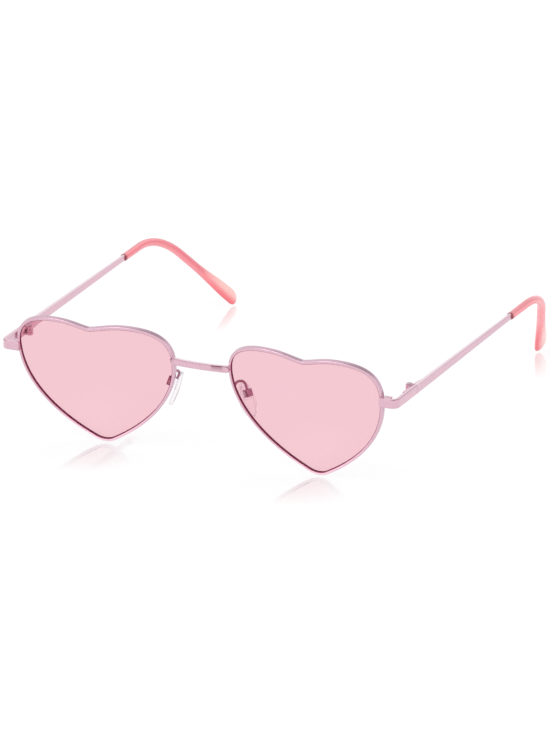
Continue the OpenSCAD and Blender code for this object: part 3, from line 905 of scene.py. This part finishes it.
@dataclass
class EndPiece:
    """The flat bar from the front of a rim round its corner to the hinge.

    It is thicker where it sits on the rim. A painted wine shade line runs along its upper outer edge, with a
    darker spot before the bend.
    """

    front: HeartFront
    side: Side
    finishes: Finishes
    height: float = 3.0
    thickness: float = 1.3
    bend_r: float = 2.5
    proud_share: float = 0.9
    butt_gap: float = 0.1
    corner_r: float = 0.3
    chamfer: float = 0.12
    seat_d: float = 0.45
    seat_run: float = 0.5
    seat_ahead: float = 0.3
    steps: tuple[int, int, int] = (12, 18, 6)
    # The painted wine shade line and its darker spot, then the painted highlight on the top.
    line: float = 0.5
    spot: tuple[float, float] = (66.8, 67.5)
    spot_fade: float = 0.2
    pale: float = 0.15

    def path(self) -> list[tuple[Vector, Vector, float]]:
        """The bar's middle line: each point, the way out of the bar, and how much deeper its back is."""
        front = self.front
        flat, bend, end = self.steps
        v = front.v_at(LAYOUT.temple_z)
        seat = front.at(front.outer_half_w - front.rim_w, v, -front.rim_d / 2)
        rim_x = front.at(front.outer_half_w, v, 0).x
        start_x = seat.x + front.rim_w / 8 + self.chamfer
        face = seat.y - self.thickness * self.proud_share
        bend_x = LAYOUT.temple_x + self.thickness / 2 - self.bend_r
        centre = Vector((bend_x, face + self.bend_r, LAYOUT.temple_z))
        path = []
        for i in range(flat + 1):
            x = mix(start_x, bend_x, i / flat)
            deep = self.seat_d * (1 - ease((x - rim_x + self.seat_ahead) / self.seat_run))
            path.append((Vector((x, face + self.thickness / 2, LAYOUT.temple_z)), -BACK, deep))
        for a in arc(-90, 0, bend)[1:]:
            out = Vector((math.cos(a), math.sin(a), 0))
            path.append((centre + out * (self.bend_r - self.thickness / 2), out, 0.0))
        last = path[-1][0]
        end_y = LAYOUT.hinge_y - self.butt_gap / 2
        for i in range(1, end + 1):
            path.append((Vector((last.x, mix(last.y, end_y, i / end), last.z)), OUT, 0.0))
        return path

    def build(self) -> None:
        """Makes the end piece."""
        path = self.path()
        rings = []
        for at, out, deep in path:
            box = round_box(self.thickness, self.height, self.corner_r)
            rings.append(ring_of(at, out, UP, [(a - deep if a < 0 else a, b) for a, b in box]))
        first = path[0][0]
        rings.insert(0, [p.lerp(first, self.chamfer) - OUT * self.chamfer for p in rings[0]])
        xs = [first.x] + [at.x for at, _, _ in path]
        # Painted wine shade along the upper edge, painted grey shade along the lower edge and a painted
        # highlight on the top.
        marks = {
            "pool": [m for x in xs for m in corner_line(Corner.FAR_TOP, self.gathered(x), 2.5)],
            "thin": corner_line(Corner.FAR_LOW, 1.0) * len(rings),
            "pale": top_face(self.pale) * len(rings),
        }
        make_piece(self.side.label + "_end_piece", "_bar", loft(rings), "front",
                   self.finishes.metal, self.side, marks=marks)

    def gathered(self, x: float) -> float:
        """How strongly the painted wine shade marks the bar's upper outer edge at x."""
        return max(self.line, patch(x, self.spot, self.spot_fade))


@dataclass(frozen=True)
class SleeveTones:
    """How the tones of a soft tip lie on its skin, among them painted shade on the long edges and the mouth,
    a painted highlight and a painted glow.

    Heights go from -1 at its lower edge to 1 at its upper one. wire_hidden, peach and glow are ramps,
    each with its value at 0 and its slope. top_at is a height before and after the bend. wire_end, in
    millimetres, and flat, in shares of the tail, say how far before the end a change begins and how
    long it takes.
    """

    wire: float = 0.85
    wire_w: float = 0.4
    wire_sinks: float = 0.4
    wire_end: tuple[float, float] = (3.0, 4.0)
    wire_hidden: tuple[float, float] = (0.5, 1.5)
    band_w: float = 0.25
    top: float = 0.75
    top_at: tuple[float, float] = (0.92, 0.15)
    under: float = 0.6
    under_at: float = -0.8
    flat: tuple[float, float] = (0.75, 0.6)
    flat_clears: float = 0.5
    peach: tuple[float, float] = (0.95, 0.9)
    glow: tuple[float, float] = (-0.2, -1.1)
    mouth: float = 0.7
    mouth_l: float = 0.4

    def ramp(self, pair: tuple[float, float], value: float) -> float:
        """A smooth step along a ramp, at a value."""
        return ease(pair[0] + pair[1] * value)

    def band(self, height: float, middle: float) -> float:
        """How near a height is to the middle of a band."""
        return max(0.0, 1 - abs(height - middle) / self.band_w)


@dataclass
class Temple:
    """A temple bar, its core wire and the soft tip over that wire."""

    side: Side
    finishes: Finishes
    end_h: float = 3.0
    thickness: float = 1.3
    height: float = 2.8
    tail_h: float = 2.0
    tail_t: float = 1.1
    corner_r: float = 0.3
    tail_corner_r: float = 0.5
    flat_y: float = 22.45
    mouth_y: float = 82.5
    bar_in: float = 0.25
    bend_y: float = 106.5
    bend_r: float = 28.0
    bend_angle: float = 49.5
    lean: float = 24.3
    butt_gap: float = 0.1
    core_r: float = 0.55
    core_in: float = 0.6
    core_nose: float = 0.2
    core_tail: float = 27.0
    mouth_w: float = 2.4
    neck_w: float = 2.7
    paddle_w: float = 5.6
    paddle_t: float = 2.4
    neck_share: float = 0.27
    full_share: float = 0.92
    end_share: float = 0.995
    slack: float = 0.06
    lip: float = 0.18
    lip_share: float = 0.29
    sides: int = 40
    # Painted wine shade along the upper outer edge, then the painted highlight on the top.
    pool: float = 0.22
    pale: float = 0.6
    tones: SleeveTones = SleeveTones()

    def __post_init__(self) -> None:
        """Works out the soft tip's lengths.

        The bend's ends are a reach away from the corner of its two straight lines. The tail's round end
        stands on the floor. The core's length is that of the wire in the soft tip.
        """
        bend = math.radians(self.bend_angle)
        lean = math.radians(self.lean)
        low = math.hypot(self.paddle_w / 2 * math.cos(lean), self.paddle_t / 2 * math.sin(lean))
        self.reach = self.bend_r * math.tan(bend / 2)
        self.straight = self.bend_y - self.reach - self.mouth_y
        self.curve = self.bend_r * bend
        self.tail = (LAYOUT.temple_z - low) / (math.sin(bend) * math.cos(lean)) - self.reach
        self.tip_l = self.straight + self.curve + self.tail
        self.core_l = self.straight + self.curve + self.core_tail - self.reach

    def turned(self, p: Vector) -> Vector:
        """A vector that leans outwards as the soft tip does."""
        return Matrix.Rotation(math.radians(self.lean), 3, "Y") @ p

    def along(self, s: float) -> tuple[Vector, Vector]:
        """The path's point at a distance from the mouth, and the direction up from it in the path's plane."""
        a = min(1.0, max(0.0, (s - self.straight) / self.curve)) * math.radians(self.bend_angle)
        before = min(0.0, s - self.straight)
        beyond = max(0.0, s - self.straight - self.curve)
        y = self.bend_y - self.reach + before + self.bend_r * math.sin(a) + beyond * math.cos(a)
        z = -self.bend_r * (1 - math.cos(a)) - beyond * math.sin(a)
        root = Vector((LAYOUT.temple_x, 0, LAYOUT.temple_z))
        return root + self.turned(Vector((0, y, z))), self.turned(Vector((0, math.sin(a), math.cos(a))))

    def size(self, s: float, full: float) -> float:
        """How wide or thick the soft tip is at a distance from its mouth, and full at its paddle."""
        neck_at = self.tip_l - self.tail * (1 - self.neck_share)
        full_at = self.tip_l - self.tail * (1 - self.full_share)
        neck = mix(self.mouth_w, self.neck_w, ease(s / neck_at))
        return neck + (full - self.neck_w) * ease((s - neck_at) / (full_at - neck_at))

    def oval(self, s: float, w: float, t: float) -> list[Vector]:
        """An oval ring across the path, w high and t thick."""
        at, up = self.along(s)
        return ring_of(at, self.turned(OUT), up, ellipse(t, w, self.sides))

    def build(self) -> None:
        """Makes the bar, the core wire and the soft tip."""
        self.build_bar()
        self.build_core()
        self.build_tip()

    def build_bar(self) -> None:
        """Makes the bar from the hinge to just inside the soft tip's mouth."""
        start_y = LAYOUT.hinge_y + self.butt_gap / 2
        steps = 40
        rings = []
        for i in range(steps + 1):
            y = mix(start_y, self.mouth_y + self.bar_in, i / steps)
            tail = min(1.0, max(0.0, (y - self.flat_y) / (self.mouth_y - self.flat_y)))
            h = mix(self.end_h, mix(self.height, self.tail_h, tail), ease((y - start_y) / self.end_h))
            r = mix(self.corner_r, self.tail_corner_r, tail)
            box = round_box(mix(self.thickness, self.tail_t, tail), h, r)
            rings.append(ring_of(Vector((LAYOUT.temple_x, y, LAYOUT.temple_z)), OUT, UP, box))
        # Painted wine shade along the upper outer edge, painted grey shade along the lower outer edge and a
        # painted highlight on the top.
        marks = {
            "pool": corner_line(Corner.FAR_TOP, self.pool, peak=0.4) * len(rings),
            "thin": corner_line(Corner.FAR_LOW, 1.0, 4) * len(rings),
            "pale": top_face(self.pale) * len(rings),
        }
        name = self.side.label + "_temple"
        make_piece(name, "_bar", loft(rings), name + "_arm",
                   self.finishes.metal, self.side, marks=marks)

    def build_core(self) -> None:
        """Makes the core wire inside the soft tip."""
        steps = 60
        width = 2 * self.core_r
        spots = [mix(-self.core_in, self.core_l, i / steps) for i in range(steps + 1)]
        rings = [self.oval(s, width, width) for s in spots]
        rings.append(self.oval(self.core_l + self.core_nose, self.core_r, self.core_r))
        label = self.side.label
        make_piece(label + "_core_wire", "", loft(rings), label + "_temple_arm",
                   self.finishes.core, self.side)

    def tone(self, s: float, angle: float) -> dict[str, float]:
        """How the soft tip's colour changes at a point of its skin.

        Args:
            s: Distance from the mouth.
            angle: Place round the oval in radians, with a quarter turn at its upper edge.

        Returns:
            The amount of each tone that the finish knows.
        """
        tones = self.tones
        height = math.sin(angle)
        bent = ease((s - self.straight) / self.curve)
        flat_from, flat_run = tones.flat
        flat = ease((s - self.tip_l + flat_from * self.tail) / (flat_run * self.tail))
        ahead, fade = tones.wire_end
        wire = math.exp(-(((height + tones.wire_sinks * bent) / tones.wire_w) ** 2))
        wire *= 1 - ease((s - self.core_l + ahead) / fade)
        wire *= 1 - bent * tones.ramp(tones.wire_hidden, math.cos(angle))
        # The painted shade bands, on the upper and lower edges.
        top = tones.top * tones.band(height, mix(*tones.top_at, bent))
        under = tones.under * (1 - bent) * tones.band(height, tones.under_at)
        # shade and mouth are painted shade, the upper-side tone a painted highlight and glow a painted glow.
        return {
            "wire": tones.wire * wire,
            "shade": (1 - tones.flat_clears * flat) * max(top, under),
            "peach": flat * tones.ramp(tones.peach, height),
            "glow": flat * tones.ramp(tones.glow, height),
            "mouth": tones.mouth * (1 - ease(s / tones.mouth_l)),
        }

    def build_tip(self) -> None:
        """Makes the soft tip, with its bore, its rounded mouth and its round end."""
        lip, k, n, steps, bore_steps, round_steps = self.lip, self.lip_share, self.sides, 96, 48, 12
        end = self.core_l + self.slack
        bore = 2 * (self.core_r + self.slack)
        r = self.paddle_w / 2 * self.end_share
        spots = [(0.0, 1 - 2 * lip / self.mouth_w), (lip * k, 1 - 2 * k * lip / self.mouth_w)]
        spots += [(mix(lip, self.tip_l, i / steps), 1.0) for i in range(steps + 1)]
        spots += [(self.tip_l + r * math.sin(a), math.cos(a)) for a in arc(0, 90, round_steps)[1:-1]]
        rings = [self.oval(mix(end, 0, i / bore_steps), bore, bore) for i in range(bore_steps + 1)]
        for s, share in spots:
            w, t = (self.size(min(s, self.tip_l), full) * share for full in (self.paddle_w, self.paddle_t))
            rings.append(self.oval(s, w, t))
        # The bore takes the tones of the mouth, with its painted shade.
        inside = self.tone(0, 0)
        tones = [inside] * (n * (bore_steps + 1))
        tones += [self.tone(s, 2 * math.pi * i / n) for s, _ in spots for i in range(n)]
        tones += [inside, self.tone(self.tip_l + r, 0)]
        skin = loft(rings, (self.along(end)[0], self.along(self.tip_l + r)[0]))
        marks = {key: [tone[key] for tone in tones] for key in inside}
        label = self.side.label
        make_piece(label + "_temple_tip", "_sleeve", skin, label + "_temple_arm",
                   self.finishes.sleeve, self.side, 60, marks)


@dataclass
class NosePad:
    """A clear pad and the looped wire that carries its box."""

    front: HeartFront
    side: Side
    finishes: Finishes
    x: float = 12.2
    y: float = 7.3
    z: float = 20.9464
    length: float = 12.0
    width: float = 6.2
    thickness: float = 1.9
    splay: float = 20.0
    lean: float = 20.0
    egg_share: float = 0.12
    shares: tuple[float, ...] = (0.12, 0.26, 0.4, 0.54, 0.67, 0.78, 0.86)
    rim_shares: tuple[float, float] = (0.9, 0.98)
    rim_steps: int = 12
    grey_rings: tuple[int, ...] = (2, 3, 8, 9)
    edge_r: float = 0.3
    outline_steps: int = 64
    wire_r: float = 0.42
    wire_sides: int = 24
    box_h: float = 2.4
    box_x: float = 2.8
    box_ahead: float = 1.2
    screw_up: float = 2.4
    foot_share: float = 0.375
    loop_back: float = 1.9
    loop_rise: float = 0.2
    loop_over: float = 0.3
    loop_pull: float = 0.35
    end_pull: float = 0.6
    gap: float = 0.04

    def turned(self, p: Vector) -> Vector:
        """A vector of the pad's own axes, in the front's axes."""
        lean = math.radians(self.lean)
        splay = math.radians(self.splay)
        x = p.x * math.cos(lean) - p.z * math.sin(lean)
        z = p.x * math.sin(lean) + p.z * math.cos(lean)
        return Vector((x * math.cos(splay) + p.y * math.sin(splay),
                       -x * math.sin(splay) + p.y * math.cos(splay), z))

    def at(self, p: Vector) -> Vector:
        """A point of the pad's own axes, in the front's axes."""
        return Vector((self.x, self.y, self.z)) + self.turned(p)

    def ring(self, share: float, rise: float) -> list[Vector]:
        """An egg shaped ring of the pad.

        Args:
            share: Its size as a share of the pad's outline.
            rise: Its place between the crowned face, at 0, and the flat back, at 1.

        Returns:
            The ring's points.
        """
        half = self.thickness / 2
        ball_r = 2 * self.length
        ring = []
        for t in arc(0, 360, self.outline_steps)[:-1]:
            y = self.width / 2 * share * math.cos(t) * (1 - self.egg_share * math.sin(t))
            z = self.length / 2 * share * math.sin(t)
            crown = ball_r - math.sqrt(ball_r**2 - y * y - z * z)
            face = -half + min(crown, self.thickness - 2 * self.edge_r)
            ring.append(self.at(Vector((mix(face, half, rise), y, z))))
        return ring

    def build(self) -> None:
        """Makes the pad and its wire."""
        self.build_pad()
        self.build_arm()

    def build_pad(self) -> None:
        """Makes the pad, crowned towards the nose and nearly flat behind, with a painted grey shade line on
        its rim.
        """
        rings = [self.ring(k, 0) for k in self.shares]
        rings += [self.ring(mix(*self.rim_shares, math.cos(a)), mix(0.5, 1, math.sin(a)))
                  for a in arc(-90, 90, self.rim_steps)]
        rings += [self.ring(k, 1) for k in reversed(self.shares)]
        n = self.outline_steps
        # The grey rings carry the painted grey shade.
        grey = {(len(self.shares) + j) * n + i for j in self.grey_rings for i in range(n)}
        label = self.side.label
        make_piece(label + "_nose_pad", "_moulded", loft(rings), label + "_pad",
                   self.finishes.silicone, self.side, 70, None, (self.finishes.pad_edge, grey))

    def wire_path(self) -> tuple[list[Vector], Vector, Vector]:
        """The wire's middle line, its direction out of the rim, and the direction square to its plane."""
        front = self.front
        u = -front.inner_half_w + front.rim_w / 2
        v = front.v_at(self.z + self.length * self.foot_share)
        foot = front.at(u, v, front.rim_d / 2)
        out = front.at(u, v, front.rim_d / 2 + front.rim_d) - foot
        down = self.turned(-UP)
        end = self.at(Vector((self.box_x, -self.box_ahead, self.screw_up + self.box_h / 2 + self.gap)))
        run = Vector((end.x - foot.x, end.y - foot.y, 0))
        rise = self.length * self.loop_rise
        top = Vector((foot.x, foot.y + self.loop_back, end.z + rise)) + run * self.loop_over
        steps = 24
        path = bezier(foot, foot + out, top - run * self.loop_pull, top, steps)
        path += bezier(top, top + run * self.loop_pull, end - down * (rise * self.end_pull), end, steps)
        return path + [end], out, Vector((run.y, -run.x, 0)).normalized()

    def build_arm(self) -> None:
        """Makes the wire that loops from the rim's back up and over to the box."""
        path, out, face = self.wire_path()
        circle = ellipse(2 * self.wire_r, 2 * self.wire_r, self.wire_sides)
        rings = []
        for i, p in enumerate(path):
            along = path[min(i + 1, len(path) - 1)] - path[max(i - 1, 0)] if i else out
            along = along.normalized()
            up = face.cross(along).normalized()
            rings.append(ring_of(p, along.cross(up), up, circle))
        # The wire takes the lacquer darkened as painted shade.
        make_piece(self.side.label + "_pad_arm", "_wire", loft(rings), "front",
                   self.finishes.fittings, self.side)


class SmallParts:
    """The machined bits that keep their solids' shapes, each with the width of its rounded edges."""

    METAL = {"pad_box": 0.15}
    PLAIN = {"upper_block": 0.15, "lower_block": 0.15, "front_leaf": 0.1}
    STEEL = {"rim_screw": 0.05, "hinge_screw": 0.06, "pad_screw": 0.05}
    LEAF = 0.1
    INSERT = 0.05

    def build(self, frame: dict, finishes: Finishes) -> None:
        """Makes the small parts of both sides."""
        nodes = frame["nodes"]
        for side in Side:
            arm = f"{side.label}_temple_arm"
            pad = f"{side.label}_pad"
            # The pad boxes take the lacquer darkened as painted shade.
            for name, width in self.METAL.items():
                soften(nodes[f"{side.label}_{name}"], "front", finishes.fittings, width)
            for name, width in self.PLAIN.items():
                soften(nodes[f"{side.label}_{name}"], "front", finishes.hinge, width)
            for name, width in self.STEEL.items():
                soften(nodes[f"{side.label}_{name}"], "front", finishes.steel, width)
            soften(nodes[f"{side.label}_temple_leaf"], arm, finishes.hinge, self.LEAF)
            soften(nodes[f"{side.label}_pad_insert"], pad, finishes.insert, self.INSERT)


@dataclass(frozen=True)
class Lamp:
    """A soft square lamp that shines at the middle of the sunglasses. Sizes are in metres, power in watts."""

    name: str
    spot: tuple[float, float, float]
    power: float
    size: float

    def build(self) -> None:
        """Makes the lamp."""
        data = bpy.data.lights.new(self.name, "AREA")
        data.energy = self.power
        data.size = self.size
        lamp = bpy.data.objects.new(self.name, data)
        lamp.location = self.spot
        lamp.rotation_euler = (-Vector(self.spot)).to_track_quat("-Z", "Y").to_euler()
        bpy.context.scene.collection.objects.link(lamp)


@dataclass
class Studio:
    """A white floor in a white surround, soft lamps and the camera.

    The sunglasses stand on a sheet of clear glass, too clear to draw, and the floor is its underside,
    which mirrors them a little near their feet. The floor's size is in metres.
    """

    target: tuple[float, float, float] = (7.655, 36.568, 21.127)
    azimuth: float = -26.014
    elevation: float = 20.674
    roll: float = -0.966
    distance: float = 3660.0
    focal_px: float = 11660.0
    frame_px: float = 733.0
    sensor: float = 36.0
    clip_end: float = 100.0
    floor_size: float = 4.0
    white: str = "#fbfafb"
    floor_glow: float = 0.85
    glass_t: float = 0.5
    polish: float = 0.45
    polish_reach: float = 20.0
    polish_ahead: tuple[float, float] = (3.5, 7.2)
    light: float = 0.95
    dim_lean: float = 0.35
    dim_from: float = 0.62
    dim_to: float = 0.9
    overhead: float = 0.42
    lamps: tuple[Lamp, ...] = (
        Lamp("key_lamp", (-0.5, -0.7, 0.9), 3.5, 0.7),
        Lamp("fill_lamp", (0.8, -0.2, 0.6), 1.5, 0.8),
    )

    def build_camera(self) -> None:
        """Makes the camera at the photograph's angle."""
        az, el, ro = (math.radians(a) for a in (self.azimuth, self.elevation, self.roll))
        look = Vector((math.sin(az) * math.cos(el), math.cos(az) * math.cos(el), -math.sin(el)))
        level = Vector((math.cos(az), -math.sin(az), 0))
        rise = level.cross(look)
        right = level * math.cos(ro) + rise * math.sin(ro)
        up = rise * math.cos(ro) - level * math.sin(ro)
        data = bpy.data.cameras.new("camera")
        data.sensor_width = self.sensor
        data.lens = self.focal_px / self.frame_px * self.sensor
        data.clip_end = self.clip_end
        camera = bpy.data.objects.new("camera", data)
        turn = Matrix((right, up, -look)).transposed()
        spot = LAYOUT.place(Vector(self.target) - look * self.distance, Side.RIGHT)
        camera.matrix_world = Matrix.Translation(spot) @ turn.to_4x4()
        bpy.context.scene.collection.objects.link(camera)
        bpy.context.scene.camera = camera

    def seen_rays(self, tree: Tree) -> Socket:
        """Whether a ray is one that the camera, a shine or a clear piece sees by."""
        path = add_node(tree, "LightPath").outputs
        either = maths(tree, "MAXIMUM", path["Is Camera Ray"], path["Is Glossy Ray"])
        return maths(tree, "MAXIMUM", either, path["Is Transmission Ray"])

    def floor_finish(self, feet: list[Vector]) -> Material:
        """The floor's white, with a polish that fades out round a spot just before each foot."""
        made = Recipe("white_floor")
        tree = made.tree
        matt = add_node(tree, "BsdfDiffuse", {}, {"Color": linear(self.white)})
        glow = add_node(tree, "Emission", {}, {"Color": WHITE, "Strength": 1.0})
        share = maths(tree, "MULTIPLY", self.seen_rays(tree), self.floor_glow)
        lit = add_node(tree, "MixShader", {}, {0: share, 1: matt.outputs[0], 2: glow.outputs[0]})
        shine = add_node(tree, "BsdfGlossy", {}, {"Color": WHITE, "Roughness": 0.0})
        here = add_node(tree, "NewGeometry").outputs["Position"]
        reach = self.polish_reach * MM
        ahead = Vector((*self.polish_ahead, 0)) * MM
        nearest = reach
        for foot in feet:
            away = add_node(tree, "VectorMath", {"operation": "DISTANCE"},
                            {0: here, 1: foot - ahead})
            nearest = maths(tree, "MINIMUM", nearest, away.outputs["Value"])
        mirror = add_node(tree, "MapRange", {}, {
            0: nearest, 1: 0.0, 2: reach, 3: self.polish, 4: 0.0})
        both = add_node(tree, "MixShader", {},
                        {0: mirror.outputs[0], 1: lit.outputs[0], 2: shine.outputs[0]})
        return made.finish(both.outputs[0])

    def build_floor(self, feet: list[Vector]) -> None:
        """Makes the floor under the points that the sunglasses stand on."""
        half = self.floor_size / 2
        low = -self.glass_t * MM
        corners = [(-half, -half, low), (half, -half, low), (half, half, low), (-half, half, low)]
        mesh = bpy.data.meshes.new("floor")
        mesh.from_pydata(corners, [], [(0, 1, 2, 3)])
        mesh.materials.append(self.floor_finish(feet))
        floor = bpy.data.objects.new("floor", mesh)
        bpy.context.scene.collection.objects.link(floor)

    def build_light(self) -> None:
        """Makes the white surround and the lamps.

        Metal sees the surround darker overhead and to the right. The floor's mirror sees it white, so that
        its polish never shows as a grey patch.
        """
        world = bpy.data.worlds.new("surround")
        bpy.context.scene.world = world
        world.use_nodes = True
        tree = world.node_tree
        tree.nodes.clear()
        light = add_node(tree, "Background", {}, {"Color": WHITE, "Strength": self.light})
        way = add_node(tree, "TexCoord").outputs["Generated"]
        height = add_node(tree, "VectorMath", {"operation": "DOT_PRODUCT"},
                          {0: way, 1: (self.dim_lean, 0, 1)}).outputs["Value"]
        dim = add_node(tree, "MapRange", {}, {
            0: height, 1: self.dim_from, 2: self.dim_to, 3: 1.0, 4: self.overhead})
        path = add_node(tree, "LightPath").outputs
        strength = maths(tree, "MAXIMUM", dim.outputs[0], path["Is Singular Ray"])
        seen = add_node(tree, "Background", {}, {"Color": WHITE, "Strength": strength})
        both = add_node(tree, "MixShader", {},
                        {0: self.seen_rays(tree), 1: light.outputs[0], 2: seen.outputs[0]})
        add_node(tree, "OutputWorld", {}, {"Surface": both.outputs[0]})
        for lamp in self.lamps:
            lamp.build()

    def build(self, feet: list[Vector]) -> None:
        """Makes the whole studio round the points that the sunglasses stand on."""
        self.build_camera()
        self.build_floor(feet)
        self.build_light()
        bpy.context.scene.view_settings.view_transform = "Standard"


@dataclass
class Sunglasses:
    """The whole object, piece by piece."""

    front: HeartFront = field(default_factory=HeartFront)

    def build(self, frame: dict) -> list[Vector]:
        """Makes every piece around the frame.

        Args:
            frame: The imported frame.

        Returns:
            The points that the sunglasses stand on.
        """
        finishes = Finishes()
        Bridge(self.front, finishes).build()
        for side in Side:
            temple = Temple(side, finishes)
            RimAndLens(self.front, side, finishes).build()
            EndPiece(self.front, side, finishes).build()
            temple.build()
            NosePad(self.front, side, finishes).build()
        SmallParts().build(frame, finishes)
        heart_tip = self.front.at(0, -self.front.middle_v, -self.front.rim_d / 2)
        ear_tip = temple.along(temple.tip_l)[0]
        return [LAYOUT.place(Vector((p.x, p.y, 0)), side) for p in (heart_tip, ear_tip) for side in Side]


def main() -> None:
    """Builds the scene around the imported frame."""
    logging.basicConfig(level=logging.INFO, format="%(name)s: %(message)s")
    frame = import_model()
    LAYOUT.read(frame)
    Studio().build(Sunglasses().build(frame))


if __name__ == "__main__":
    main()
